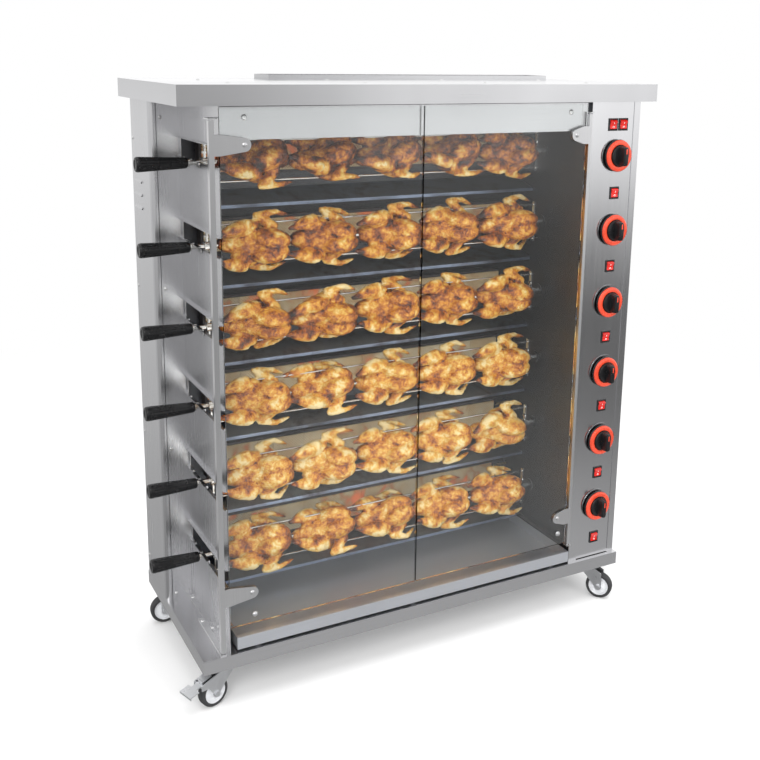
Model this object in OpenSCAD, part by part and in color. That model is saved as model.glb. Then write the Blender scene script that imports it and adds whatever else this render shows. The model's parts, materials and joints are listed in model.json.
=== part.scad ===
// Free-standing six-spit rotisserie oven on swivel castors.
// Millimetres, +Z up, -Y is the front, +X is to the right of someone facing the front.
// The origin is on the floor, under the middle of the object's whole box.

/* [Cabinet] */
// Width of the overhanging lid, the widest sheet of the cabinet
lid_w = 1300; // [1280:5:1320]
// Depth of the lid from front to back
lid_d = 512; // [508:2:520]
// Height of the lid's folded skirt
lid_h = 45; // [40:1:50]
// Height of the raised collar round the flue opening
flue_rim_h = 12; // [8:1:16]
// Width of the base tray
base_w = 1246; // [1244:2:1252]
// Depth of the base tray
base_d = 502; // [500:2:506]
// Height of the base tray's folded skirt
base_h = 36; // [30:1:40]
// Height of the cabinet between the base tray and the lid
body_h = 1301; // [1298:1:1310]
// Thickness of the stainless sheet
sheet_t = 1.5; // [1.2:0.1:1.8]
// Depth of the valance that hangs behind the top of the doors
valance_h = 75; // [70:1:80]
// Outside radius of the rear casing's upright corner
corner_r = 12; // [8:1:16]

/* [Spits] */
// Height of the lowest spit above the floor
spit_low_z = 300; // [298:1:302]
// Distance from each spit to the next one above it
spit_pitch = 200; // [199:0.5:201]
// Diameter of a spit's main rod
rod_d = 12; // [10:0.5:14]
// Distance of the rods in front of the cabinet's centre plane
spit_fwd = 33; // [28:1:38]
// Length of a spit handle
grip_l = 122; // [110:1:126]
// Diameter of a spit handle at its free end
grip_d1 = 36; // [30:1:38]
// Diameter of a spit handle at the rod
grip_d2 = 26; // [24:1:30]
// Height of the cross bars at the two ends of a spit's prongs
fork_h = 112; // [100:2:120]

/* [Side slots] */
// Clear height of the slot that each spit lifts out through
slot_h = 44; // [36:1:50]
// Depth of the seats that the rods rest in
seat_drop = 8; // [6:0.5:10]
// Distance from one seat to the next along a slot
seat_pitch = 56; // [50:1:60]

/* [Glass doors] */
// Thickness of the door glass
glass_t = 6; // [5:0.5:6]
// Height of the lower edge of the glass above the floor
glass_z0 = 206; // [202:1:212]
// Height of the glass
glass_h = 1230; // [1220:1:1232]
// Radius of the rounded end of a hinge arm
arm_tip_r = 15; // [12:1:18]

/* [Controls] */
// Diameter of a burner knob's coloured ring
knob_d = 86; // [76:1:90]
// Distance that a knob stands out from the panel
knob_l = 42; // [38:1:44]
// Width of a rocker switch's frame
rocker_w = 29; // [27:1:30]
// Height of a rocker switch's frame
rocker_h = 33; // [31:1:36]

/* [Drip tray] */
// Depth of the drip tray from front to back
tray_d = 330; // [300:5:340]
// Height of the drip tray's rim above its floor
tray_h = 31; // [26:1:34]

/* [Castors] */
// Diameter of a castor wheel
wheel_d = 76; // [74:1:78]
// Width of a castor wheel's tread
wheel_w = 24; // [20:1:25]
// Height from the floor to the underside of the base tray
castor_h = 105; // [104:1:108]
// Distance of a wheel's axle behind its swivel axis
trail = 36; // [32:1:38]

/* [Hidden] */

$fn = 64;
SPITS = 6;
CLEAR = 0.05;            // radial running clearance of a pin in its bore
FAR = 40;                // overlength of cutting tools

// Levels, from the floor up
z_base = castor_h;
z_deck = z_base + base_h;
z_skirt = z_deck + body_h;
z_lid = z_skirt + lid_h;
z_wall_top = z_lid - sheet_t;

// Planes, measured from the cabinet's centre
front_y = -238;          // outer face of the front strips and centre of the door glass
back_y = 239;            // outer face of the rear panel
rear_y = 68;             // front face of the rear casing
lid_y = -6;              // centre of the lid
left_x = -624;           // left face of the rear casing
wall_x = -551;           // outer face of the left wall
inner_x = 457;           // cavity side of the right wall
panel_x0 = 485;          // left edge of the control panel's opening
panel_x1 = 597;          // right edge of the control panel's opening
right_x = 617;           // outer face of the control column
control_x = 545;         // centre line of the knobs and switches
cavity_y = 110;          // front face of the cavity's back sheet
spit_y = -spit_fwd;
ledge_w = 7;             // width of the ledges along each slot
grip_x = wall_x - ledge_w - 5;
rod_x1 = inner_x + 20;
stub_y = 261;            // end of the gas inlet

// Offsets that put the origin under the middle of the whole box
off_x = -((grip_x - grip_l) + lid_w / 2) / 2;
off_y = -((front_y + 1 - knob_l) + stub_y) / 2;

// Cross bars of a spit: five birds of 190 mm fit between them
fork_x0 = -521;
fork_x1 = 429;
prong_d = 5;

// Doors
seam_x = -47;
seam_gap = 4;
post_l_x = -571;
post_r_x = 449.5;
post_l_w = 12;
post_r_w = 9;
pivot_d = 6;
arm_z = [288, 1357];

// Castors: swivel axis, direction of trail in degrees, brake
castor_x = 558;
castor_y = 205;
CASTORS = [[-castor_x, -castor_y, 198], [castor_x, -castor_y, 308],
    [-castor_x, castor_y, 175], [castor_x, castor_y, 160]];
axle_d = 8;
pedal_pin = [72, 68];    // place of the brake pedal's pin from the swivel axis and the floor

function spit_z(i) = spit_low_z + (i - 1) * spit_pitch;
function switch_z(i) = spit_z(i) - spit_pitch / 2;
top_switch_z = spit_z(SPITS) + 82;

steel = "silver";
dark = "dimgray";

// ---------- helpers ----------

module place() { translate([off_x, off_y, 0]) children(); }

// A block given by its lowest and highest corners
module block(a, b) { translate(a) cube(b - a); }

// A cylinder along X, Y or Z that starts at p
module rod_x(p, l, d) { translate(p) rotate([0, 90, 0]) cylinder(d = d, h = l); }
module rod_y(p, l, d) { translate(p) rotate([-90, 0, 0]) cylinder(d = d, h = l); }
module rod_z(p, l, d) { translate(p) cylinder(d = d, h = l); }

// A domed screw head of height h that stands on the XY plane
module dome(d, h) {
    r = (d * d / 4 + h * h) / (2 * h);
    intersection() {
        translate([0, 0, h - r]) sphere(r = r);
        cylinder(d = d + 1, h = h);
    }
}

// ---------- cabinet ----------

module plinth() color(steel) place() {
    hw = base_w / 2;
    hd = base_d / 2;
    lip = 15;
    difference() {
        block([-hw, -hd, z_base], [hw, hd, z_deck]);
        block([-hw + sheet_t, -hd + sheet_t, z_base + sheet_t],
            [hw - sheet_t, hd - sheet_t, z_deck - sheet_t]);
        block([-hw + lip, -hd + lip, z_base - 1], [hw - lip, hd - lip, z_base + sheet_t + 1]);
    }
    // gussets that carry the castor plates
    for (sx = [-1, 1]) for (sy = [-1, 1])
        block([sx > 0 ? castor_x - 50 : -hw + sheet_t, sy > 0 ? castor_y - 38 : -hd + sheet_t, z_base],
            [sx > 0 ? hw - sheet_t : -castor_x + 50, sy > 0 ? hd - sheet_t : -castor_y + 38, z_base + 2.5]);
    // runners under the drip tray
    for (x = [-480, seam_x, 400]) block([x - 6, -232, z_deck], [x + 6, 90, z_deck + 4.7]);
}

flue = [[-300, 118], [560, 218]];

module canopy() color("lightgray") place() {
    hw = lid_w / 2;
    y0 = lid_y - lid_d / 2;
    y1 = lid_y + lid_d / 2;
    difference() {
        block([-hw, y0, z_skirt], [hw, y1, z_lid]);
        block([-hw + sheet_t, y0 + sheet_t, z_skirt - 1], [hw - sheet_t, y1 - sheet_t, z_lid - sheet_t]);
        block([flue[0][0], flue[0][1], z_skirt], [flue[1][0], flue[1][1], z_lid + 1]);
    }
    // collar round the flue opening
    difference() {
        block([flue[0][0] - sheet_t, flue[0][1] - sheet_t, z_lid - sheet_t],
            [flue[1][0] + sheet_t, flue[1][1] + sheet_t, z_lid + flue_rim_h]);
        block([flue[0][0], flue[0][1], z_lid - FAR], [flue[1][0], flue[1][1], z_lid + FAR]);
    }
    // grille bars across the opening
    bars = 20;
    for (k = [1 : bars - 1])
        let (x = flue[0][0] + k * (flue[1][0] - flue[0][0]) / bars)
            block([x - 1.5, flue[0][1] - 1, z_lid + 2], [x + 1.5, flue[1][1] + 1, z_lid + 5]);
}

module rear_panel() color(steel) place() {
    difference() {
        block([left_x + sheet_t, back_y - sheet_t, z_deck], [right_x - sheet_t, back_y, z_wall_top]);
        rod_y([control_x, back_y - FAR, 225], 2 * FAR, 28);
        // cooling slots for the motors
        for (k = [0 : 9]) block([500, back_y - FAR, 1180 + 18 * k], [590, back_y + FAR, 1186 + 18 * k]);
        for (k = [0 : 9]) block([500, back_y - FAR, 420 + 18 * k], [590, back_y + FAR, 426 + 18 * k]);
    }
    // cable gland, with nothing in it
    translate([control_x, back_y, 330]) rotate([-90, 0, 0]) difference() {
        union() {
            cylinder(d = 26, h = 4, $fn = 6);
            cylinder(d = 18, h = 16);
        }
        translate([0, 0, 6]) cylinder(d = 9, h = FAR);
    }
}

module rear_left_column() color(steel) place() {
    louvre_y = [150, 218];
    louvre_z = [1166, 1199, 1232];
    difference() {
        linear_extrude_between(z_deck, z_wall_top) {
            translate([left_x, rear_y + corner_r]) square([sheet_t, back_y - rear_y - corner_r]);
            translate([left_x + corner_r, rear_y]) square([17 - corner_r, sheet_t]);
            intersection() {
                translate([left_x, rear_y]) square(corner_r);
                translate([left_x + corner_r, rear_y + corner_r]) difference() {
                    circle(r = corner_r);
                    circle(r = corner_r - sheet_t);
                }
            }
        }
        for (z = louvre_z) block([left_x - 1, louvre_y[0], z], [left_x + sheet_t + 1, louvre_y[1], z + 5]);
    }
    // pressed hoods over the louvres
    for (z = louvre_z) translate([left_x, louvre_y[0], z])
        rotate([-90, 0, 0]) linear_extrude(louvre_y[1] - louvre_y[0])
            polygon([[0, -8.5], [-4, -2], [-4, -0.8], [0, -5]]);
}

module linear_extrude_between(a, b) { translate([0, 0, a]) linear_extrude(b - a) children(); }

guide_z = 186;           // underside of the guides that keep the drip tray from tipping

weld_gap = 0.02;         // hairline between strips of the left wall, which keeps its slots open in collision

module left_wall() color(steel) place() {
    wall_front = front_y + 6;
    strip_x = wall_x - weld_gap;
    slot_end = rear_y - 10;
    difference() {
        union() {
            // one sheet, drawn as the strip behind the slots and the tongues between them
            block([wall_x, slot_end, z_deck], [wall_x + sheet_t, back_y - sheet_t, z_wall_top]);
            block([wall_x, wall_front, z_deck], [wall_x + sheet_t, slot_end - weld_gap, z_wall_top]);
            // ledges above and below each slot
            for (i = [1 : SPITS]) for (z = [spit_z(i) + seat_drop - sheet_t, spit_z(i) + seat_drop + slot_h])
                block([strip_x - ledge_w, wall_front, z], [strip_x, rear_y - 0.1, z + sheet_t]);
        }
        for (i = [1 : SPITS]) {
            block([wall_x - FAR, wall_front - 1, spit_z(i) + seat_drop],
                [wall_x + FAR, slot_end, spit_z(i) + seat_drop + slot_h]);
            // seats for the rod, at three distances from the burner
            for (k = [-1 : 1]) {
                y = spit_y - k * seat_pitch;
                rod_x([wall_x - FAR, y, spit_z(i)], 2 * FAR, rod_d + 0.8);
                block([wall_x - FAR, y - rod_d / 2 - 0.4, spit_z(i)],
                    [wall_x + FAR, y + rod_d / 2 + 0.4, spit_z(i) + seat_drop + 1]);
            }
        }
    }
    // strip that closes the front of the rear casing
    block([left_x + 18.5, rear_y, z_deck], [strip_x, rear_y + sheet_t, z_wall_top]);
    // foot that is bolted to the base tray
    block([wall_x - 12.8, -130, z_deck], [strip_x, rear_y - 0.1, z_deck + sheet_t]);
    // guide above the drip tray's edge
    block([wall_x + sheet_t + weld_gap, -200, guide_z], [wall_x + 20, 5, guide_z + sheet_t]);
}

module right_wall() color(dark) place() {
    bush_l = 10;
    difference() {
        union() {
            block([inner_x, front_y + sheet_t, z_deck], [inner_x + sheet_t, cavity_y, z_wall_top]);
            // bushes that carry the ends of the rods
            for (i = [1 : SPITS]) {
                rod_x([inner_x - 3, spit_y, spit_z(i)], 3.1, 34);
                rod_x([inner_x, spit_y, spit_z(i)], bush_l, 24);
            }
            // guide above the drip tray's edge
            block([inner_x - 14, -200, guide_z], [inner_x + 0.1, 5, guide_z + sheet_t]);
        }
        for (i = [1 : SPITS]) {
            rod_x([inner_x - FAR, spit_y, spit_z(i)], 2 * FAR, rod_d + 2 * CLEAR);
            rod_x([inner_x - FAR, gas_y, spit_z(i) + gas_rise], 2 * FAR, 11);
        }
    }
}

module cavity_back() color(dark) place()
    block([wall_x + sheet_t, cavity_y, z_deck], [inner_x + sheet_t, cavity_y + sheet_t, z_wall_top]);

module cavity_ceiling() color(steel) place() {
    z = z_skirt - 3;
    lip_y = front_y + 10.5;
    difference() {
        block([wall_x + sheet_t, lip_y, z - sheet_t], [inner_x, cavity_y, z]);
        // exhaust opening under the flue
        block([-280, 60, z - FAR], [440, 104, z + FAR]);
    }
    // valance behind the top of the doors
    block([wall_x + sheet_t, lip_y, z_skirt - valance_h], [inner_x, lip_y + sheet_t, z - sheet_t + 0.1]);
    block([wall_x + sheet_t, lip_y, z_skirt - valance_h],
        [inner_x, lip_y + 12, z_skirt - valance_h + sheet_t]);
}

module control_housing() color("lightgray") place() linear_extrude_between(z_deck, z_wall_top) {
    translate([inner_x, front_y]) square([panel_x0 - inner_x, sheet_t]);
    translate([panel_x1, front_y]) square([right_x - panel_x1, sheet_t]);
    translate([right_x - sheet_t, front_y]) square([sheet_t, back_y - front_y]);
    translate([right_x - 18, back_y - 2 * sheet_t]) square([17, sheet_t]);
}

module control_panel() color("lightgray") place() {
    y = front_y + sheet_t;
    difference() {
        block([panel_x0 - 9, y, z_deck + 2], [panel_x1 + 9, y + sheet_t, z_wall_top - 2]);
        for (i = [1 : SPITS]) {
            rod_y([control_x, y - FAR, spit_z(i)], 2 * FAR, 12);
            switch_cutout(control_x, switch_z(i));
        }
        for (x = top_switch_x) switch_cutout(x, top_switch_z);
    }
    // pressed dial ring round each knob
    for (i = [1 : SPITS]) translate([control_x, y, spit_z(i)]) rotate([90, 0, 0]) difference() {
        cylinder(d = knob_d + 9, h = 0.8);
        translate([0, 0, -1]) cylinder(d = knob_d + 2, h = 3);
    }
}

module switch_cutout(x, z)
    block([x - rocker_w / 2 + 2, front_y - FAR, z - rocker_h / 2 + 2],
        [x + rocker_w / 2 - 2, front_y + FAR, z + rocker_h / 2 - 2]);

// ---------- heating ----------

burner_x = [-500, 400];
gas_y = 96;
gas_rise = 20;
rail_y = -165;
rail_z0 = 225;

module burner_boxes() color("gray") place() for (i = [1 : SPITS]) difference() {
    block([burner_x[0], 80, spit_z(i) - 46], [burner_x[1], cavity_y, spit_z(i) + 46]);
    block([burner_x[0] + 6, 79, spit_z(i) - 39], [burner_x[1] - 6, 84, spit_z(i) + 39]);
    block([burner_x[0] + sheet_t, 86, spit_z(i) - 46 + sheet_t],
        [burner_x[1] - sheet_t, cavity_y + 1, spit_z(i) + 46 - sheet_t]);
    rod_x([burner_x[1] - 20, gas_y, spit_z(i) + gas_rise], FAR, 8 + 2 * CLEAR);
}

module burner_tiles() color("wheat") place() {
    tiles = 10;
    pitch = (burner_x[1] - burner_x[0] - 14) / tiles;
    for (i = [1 : SPITS]) for (k = [0 : tiles - 1])
        let (x = burner_x[0] + 7 + k * pitch)
            block([x + 0.5, 78, spit_z(i) - 38], [x + pitch - 0.5, 84, spit_z(i) + 38]);
}

module baffles() color("slategray") place() for (i = [1 : SPITS])
    translate([wall_x + sheet_t + 1, 0, spit_z(i)]) rotate([90, 0, 90])
        linear_extrude(inner_x - wall_x - sheet_t - 2)
            polygon([[cavity_y, -85], [12, -112], [12, -120],
                [13.5, -120], [13.5, -113.2], [cavity_y, -86.6]]);

module gas_rail() color("peru") place() difference() {
    gas_pipes();
    rod_y([control_x, stub_y - 60, rail_z0], 60 + 1, 15);
}

module gas_pipes() {
    // vertical rail and the pipe to the rear
    rod_z([control_x, rail_y, rail_z0], spit_z(SPITS) + 40 - rail_z0, 26);
    rod_y([control_x, rail_y, rail_z0], back_y - rail_y, 26);
    rod_y([control_x, back_y - 1, rail_z0], stub_y - back_y + 1, 20.955);
    translate([control_x, rail_y, rail_z0]) sphere(d = 26);
    for (i = [1 : SPITS]) {
        z = spit_z(i);
        // valve, its stem and its nipple to the rail
        rod_y([control_x, -228, z], 38, 28);
        rod_y([control_x, front_y - 24, z], 16 + 19, 8);
        rod_y([control_x, -191, z], 191 + rail_y, 12);
        // tube to the burner
        rod_x([control_x, -205, z + gas_rise - 12], 40, 8);
        translate([control_x + 40, -205, z + gas_rise - 12]) sphere(d = 8);
        rod_z([control_x + 40, -205, z + gas_rise - 12], 12, 8);
        translate([control_x + 40, -205, z + gas_rise]) sphere(d = 8);
        rod_y([control_x + 40, -205, z + gas_rise], 205 + gas_y, 8);
        translate([control_x + 40, gas_y, z + gas_rise]) sphere(d = 8);
        rod_x([burner_x[1] - 19, gas_y, z + gas_rise], control_x + 40 - burner_x[1] + 19, 8);
    }
}

module spit_motors() color(dark) place() for (i = [1 : SPITS]) translate([0, spit_y, spit_z(i)]) {
    block([inner_x + 42, -34, -34], [inner_x + 72, 34, 34]);
    rod_x([inner_x + 72, 0, 0], 28, 52);
    rod_x([inner_x + 24, 0, 0], 20, 8);
    // bracket to the right wall
    for (y = [-30, 22]) block([inner_x + sheet_t, y, -20], [inner_x + 42, y + 8, 20]);
}

// ---------- spits ----------

// Cross bar on a collar that a thumb screw holds
module cross_bar() {
    rod_x([-7, 0, 0], 14, rod_d + 12);
    block([-2, -5, -fork_h / 2], [2, 5, fork_h / 2]);
    rod_z([0, 0, rod_d / 2], 16, 6);
    rod_z([0, 0, rod_d / 2 + 15], 5, 14);
}

// Two pointed prongs, from the left cross bar through the right one
module prongs() for (s = [-1, 1]) translate([fork_x0, 0, s * (fork_h / 2 - 8)]) rotate([0, 90, 0]) {
    cylinder(d = prong_d, h = fork_x1 - fork_x0 + 6);
    translate([0, 0, fork_x1 - fork_x0 + 6]) cylinder(d1 = prong_d, d2 = 1, h = 12);
}

module spit(i) color("gainsboro") place() translate([0, spit_y, spit_z(i)]) {
    union() {
        rod_x([grip_x - 40, 0, 0], rod_x1 - 14 - grip_x + 40, rod_d);
        rod_x([grip_x + 0.2, 0, 0], 4, rod_d + 7);
        // squared driving end
        block([rod_x1 - 15, -4, -4], [rod_x1 + 2, 4, 4]);
        for (x = [fork_x0, fork_x1]) translate([x, 0, 0]) cross_bar();
        prongs();
    }
    // coupling that carries the squared end and turns on the motor's shaft
    difference() {
        rod_x([inner_x + 12, 0, 0], 26, 22);
        block([inner_x + 11, -4.1, -4.1], [inner_x + 26, 4.1, 4.1]);
        rod_x([inner_x + 24, 0, 0], 15, 8 + 2 * CLEAR);
        rod_x([inner_x + 11, 0, 0], 1 + 0.4, 13);
    }
}

module handle(i) color([0.1, 0.1, 0.1]) place() translate([grip_x - grip_l, spit_y, spit_z(i)])
    difference() {
        union() {
            rotate([0, 90, 0]) translate([0, 0, 4]) cylinder(d1 = grip_d1, d2 = grip_d2, h = grip_l - 4);
            rotate([0, 90, 0]) cylinder(d1 = grip_d1 - 5, d2 = grip_d1, h = 4);
        }
        rod_x([grip_l - 40.3, 0, 0], 60, rod_d + 0.04);
    }

// ---------- doors ----------

module door_glass(x0, x1, arm_x) color([0.8, 0.9, 0.95, 0.35]) place() difference() {
    block([x0, front_y - glass_t / 2, glass_z0], [x1, front_y + glass_t / 2, glass_z0 + glass_h]);
    for (z = arm_z) rod_y([arm_x, front_y - FAR, z], 2 * FAR, 8);
}

// Post, arms and through-bolts of a door; dir is +1 where the arms point to +X
module door_hinge(x, w, z0, z1, reach, dir, studs) color("gainsboro") place() {
    plate_t = 2.5;
    root_h = 46;
    difference() {
        union() {
            block([x - w / 2, front_y - w / 2, z0], [x + w / 2, front_y + w / 2, z1]);
            for (z = arm_z) for (y = [front_y - glass_t / 2 - plate_t, front_y + glass_t / 2])
                translate([x, y + plate_t, z]) rotate([90, 0, 0])
                    linear_extrude(plate_t) arm_outline(reach, root_h, dir);
        }
        for (z = [z0 - 1, z1 - 14]) rod_z([x, front_y, z], 15, pivot_d + 2 * CLEAR);
    }
    for (z = arm_z) translate([x + dir * (reach - arm_tip_r), front_y, z]) {
        rod_y([0, -glass_t / 2 - plate_t, 0], glass_t + 2 * plate_t, 6);
        translate([0, -glass_t / 2 - plate_t, 0]) rotate([90, 0, 0]) dome(12, 3);
        translate([0, glass_t / 2 + plate_t, 0]) rotate([-90, 0, 0]) cylinder(d = 11, h = 4, $fn = 6);
    }
    // rubber-faced stop buttons on the glass
    for (s = studs) translate([s[0], front_y - glass_t / 2, s[1]]) rotate([90, 0, 0]) dome(15, 6);
}

// Tapered arm with a round end that its two sides run into tangentially
module arm_outline(reach, root_h, dir) {
    c = reach - arm_tip_r;
    root = 20;
    a = acos(arm_tip_r / norm([c - root, root_h / 2])) - atan2(c - root, root_h / 2);
    mirror([dir > 0 ? 0 : 1, 0]) {
        polygon([[0, -root_h / 2], [root, -root_h / 2],
            [c + arm_tip_r * sin(a), -arm_tip_r * cos(a)], [c + arm_tip_r * sin(a), arm_tip_r * cos(a)],
            [root, root_h / 2], [0, root_h / 2]]);
        translate([c, 0]) circle(r = arm_tip_r);
    }
}

post_l_z = [z_deck + 5, z_deck + 1270];
post_r_z = [200, z_deck + 1270];

module door_left_glass() door_glass(-552, seam_x - seam_gap / 2, post_l_x + 90 - arm_tip_r);
module door_left_hinge()
    door_hinge(post_l_x, post_l_w, post_l_z[0], post_l_z[1], 90, 1, [[-490, 229]]);
module door_right_glass() door_glass(seam_x + seam_gap / 2, 438, post_r_x - 58 + arm_tip_r);
module door_right_hinge()
    door_hinge(post_r_x, post_r_w, post_r_z[0], post_r_z[1], 58, -1, [[412, 240]]);

module door_pivots() color(steel) place() {
    pin_l = 13;
    // strap on the base tray with the left door's lower pin
    block([post_l_x - 7, front_y - 8, z_deck], [post_l_x + 7, -62, z_deck + 3]);
    rod_z([post_l_x, front_y, z_deck], post_l_z[0] - z_deck + pin_l, pivot_d);
    // upper lug of the left door
    block([post_l_x - 7, front_y - 7, post_l_z[1] + 2], [post_l_x + 7, front_y + 26, post_l_z[1] + 5]);
    block([post_l_x + 6, front_y + 7, post_l_z[1] + 2], [wall_x, front_y + 26, post_l_z[1] + 5]);
    rod_z([post_l_x, front_y, post_l_z[1] - pin_l], pin_l + 3, pivot_d);
    // lugs of the right door
    block([post_r_x - 6, front_y - 7, post_r_z[0] - 5], [inner_x, front_y + 10, post_r_z[0] - 2]);
    rod_z([post_r_x, front_y, post_r_z[0] - 4], 4 + pin_l, pivot_d);
    block([post_r_x - 6, front_y - 7, post_r_z[1] + 2], [inner_x, front_y + 10, post_r_z[1] + 5]);
    rod_z([post_r_x, front_y, post_r_z[1] - pin_l], pin_l + 3, pivot_d);
}

// ---------- controls ----------

top_switch_x = [control_x - 17, control_x + 17];
rocker_pivot = 6;        // depth of the rocker's pins behind the front face of the frame
rocker_r = rocker_h / 2 - 3.6;
rocker_half_w = rocker_w / 2 - 3.4;
rocker_tilt = 10;

module knob(i) color("orangered") place() translate([control_x, front_y + 1, spit_z(i)]) rotate([90, 0, 0])
    difference() {
        union() {
            translate([0, 0, 1]) cylinder(d = knob_d - 4, h = 8);
            translate([0, 0, 8.5]) cylinder(d1 = knob_d, d2 = knob_d - 6, h = 6);
            translate([0, 0, 14]) cylinder(d1 = 56, d2 = 50, h = 5);
            // grip bar
            linear_extrude(knob_l) intersection() {
                square([18, 60], center = true);
                circle(d = 54);
            }
        }
        translate([0, 0, -1]) cylinder(d = 8 + 2 * CLEAR, h = 27);
        translate([0, 0, -1]) cylinder(d = 13, h = 3);
    }

module switch_frame(x, z) translate([x, front_y + sheet_t, z]) rotate([90, 0, 0]) {
    bezel = 2.5;
    difference() {
        union() {
            linear_extrude(bezel) square([rocker_w, rocker_h], center = true);
            translate([0, 0, -20]) linear_extrude(21) square([rocker_w - 4.2, rocker_h - 4.2], center = true);
        }
        translate([0, 0, -15]) linear_extrude(FAR)
            square([2 * rocker_half_w + 0.8, 2 * rocker_r + 0.8], center = true);
        translate([-FAR, 0, bezel - rocker_pivot]) rotate([0, 90, 0])
            cylinder(d = 3 + 2 * CLEAR, h = 2 * FAR);
    }
}

module switch_frames() color([0.08, 0.08, 0.08]) place() {
    for (i = [1 : SPITS]) switch_frame(control_x, switch_z(i));
    for (x = top_switch_x) switch_frame(x, top_switch_z);
}

// Rocker at rest in its off position, tilted about its own pins
module rocker(x, z) color("red") place() translate([x, front_y + sheet_t - 2.5 + rocker_pivot, z])
    rotate([rocker_tilt, 0, 0]) {
        rotate([90, 0, 90]) translate([0, 0, -rocker_half_w]) linear_extrude(2 * rocker_half_w)
            intersection() {
                circle(r = rocker_r);
                polygon([[6, -20], [-9.5, -20], [-6.5, 0], [-9.5, 20], [6, 20]]);
            }
        rod_x([-rocker_half_w - 1.6, 0, 0], 2 * rocker_half_w + 3.2, 3);
    }

// ---------- drip tray ----------

module drip_tray() color("silver") place() {
    x0 = -536;
    x1 = 452;
    y0 = front_y - 5;
    z = z_deck + 5;
    t = 1.2;
    difference() {
        block([x0, y0, z], [x1, y0 + tray_d, z + tray_h]);
        block([x0 + t, y0 + t, z + t], [x1 - t, y0 + tray_d - t, z + tray_h + 1]);
    }
    // folded rim along the front
    block([x0, y0, z + tray_h - t], [x1, y0 + 12, z + tray_h]);
}

// ---------- castors ----------

leg_y = wheel_w / 2 + 2.5;
leg_t = 2.5;

module at_castor(c) place() translate([c[0], c[1], 0]) rotate([0, 0, c[2]]) children();

module caster_plates() color("gainsboro") for (c = CASTORS) {
    place() translate([c[0], c[1], 0]) difference() {
        block([-46, -33, z_base - 3], [46, 33, z_base]);
        for (x = [-37, 37]) for (y = [-24, 24]) rod_z([x, y, z_base - FAR], 2 * FAR, 8.5);
    }
    at_castor(c) {
        rod_z([0, 0, z_base - 12], 9.1, 48);
        rod_z([0, 0, z_base - 20.5], 9, 10);
        rod_z([0, 0, z_base - 24], 3.6, 18);
    }
}

module leg_outline(brake) {
    top = z_base - 13;
    axle_z = wheel_d / 2;
    polygon(brake
        ? [[-22, top], [20, top], [pedal_pin[0] + 6, pedal_pin[1] + 7], [pedal_pin[0] + 6, pedal_pin[1] - 7],
            [58, pedal_pin[1] - 8], [trail + 9.5, axle_z + 2], [trail - 9.5, axle_z]]
        : [[-22, top], [24, top], [44, top - 12], [trail + 10, axle_z + 2], [trail - 10, axle_z]]);
    translate([trail, axle_z]) circle(r = 10.5);
}

module caster_fork(c, brake) color("gainsboro") at_castor(c) {
    top = z_base - 13;
    difference() {
        union() {
            rod_z([0, 0, top - 3.5], 3.5, 46);
            block([-14, -leg_y - 1, top - 3.5], [20, leg_y + 1, top]);
            for (y = [-leg_y, leg_y + leg_t]) translate([0, y, 0]) rotate([90, 0, 0])
                linear_extrude(leg_t) leg_outline(brake);
        }
        rod_z([0, 0, top - FAR], 2 * FAR, 10 + 2 * CLEAR);
        // room for the kingpin's head
        rod_z([0, 0, top - FAR], FAR - 3.5, 20);
    }
    rod_y([trail, -leg_y - leg_t, wheel_d / 2], 2 * (leg_y + leg_t), axle_d);
    for (s = [-1, 1]) translate([trail, s * (leg_y + leg_t), wheel_d / 2]) rotate([s * -90, 0, 0]) {
        cylinder(d = 17, h = 1.2);
        cylinder(d = 15, h = 6, $fn = 6);
    }
    if (brake) rod_y([pedal_pin[0], -leg_y - leg_t, pedal_pin[1]], 2 * (leg_y + leg_t), 5);
}

module wheel(c) color([0.2, 0.2, 0.2]) at_castor(c)
    translate([trail, 0, wheel_d / 2]) rotate([90, 0, 0]) rotate_extrude() {
        r = wheel_d / 2;
        w = wheel_w / 2;
        // tread with rounded shoulders, dished sides and a hub
        difference() {
            translate([axle_d / 2 + CLEAR, -w]) square([r - 4 - axle_d / 2 - CLEAR, 2 * w]);
            for (s = [-1, 1]) translate([(14 + r - 9) / 2, s * w]) square([r - 9 - 14, 8], center = true);
        }
        translate([r - 4.01, -w + 4]) square([4.01, 2 * w - 8]);
        for (s = [-1, 1]) translate([r - 4, s * (w - 4)]) intersection() {
            circle(r = 4);
            translate([-0.01, s > 0 ? -0.01 : -5]) square([5, 5]);
        }
        translate([axle_d / 2 + CLEAR, -leg_y + 0.4]) square([9 - axle_d / 2, 2 * leg_y - 0.8]);
    }

module brake_pedal(c) color("gainsboro") at_castor(c)
    translate([pedal_pin[0], 0, pedal_pin[1]]) difference() {
        union() {
            rod_y([0, -leg_y + 0.5, 0], 2 * leg_y - 1, 10);
            // arm and foot plate
            rotate([0, 12, 0]) {
                block([0, -10, 2], [20, 10, 4.5]);
                block([18, -22, 2], [44, 22, 4.5]);
                block([41.5, -22, -2], [44, 22, 4.5]);
            }
            // release pad over the fork
            block([-4, -9, 2], [0, 9, 14]);
            rotate([0, 14, 0]) block([-30, -11, 10.5], [-1, 11, 13]);
        }
        rod_y([0, -FAR, 0], 2 * FAR, 5 + 2 * CLEAR);
    }

// ---------- fasteners ----------

module screw_y(p) { translate(p) rotate([90, 0, 0]) dome(9, 2.5); }
module screw_z(p) { translate(p) dome(10, 3); }

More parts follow.
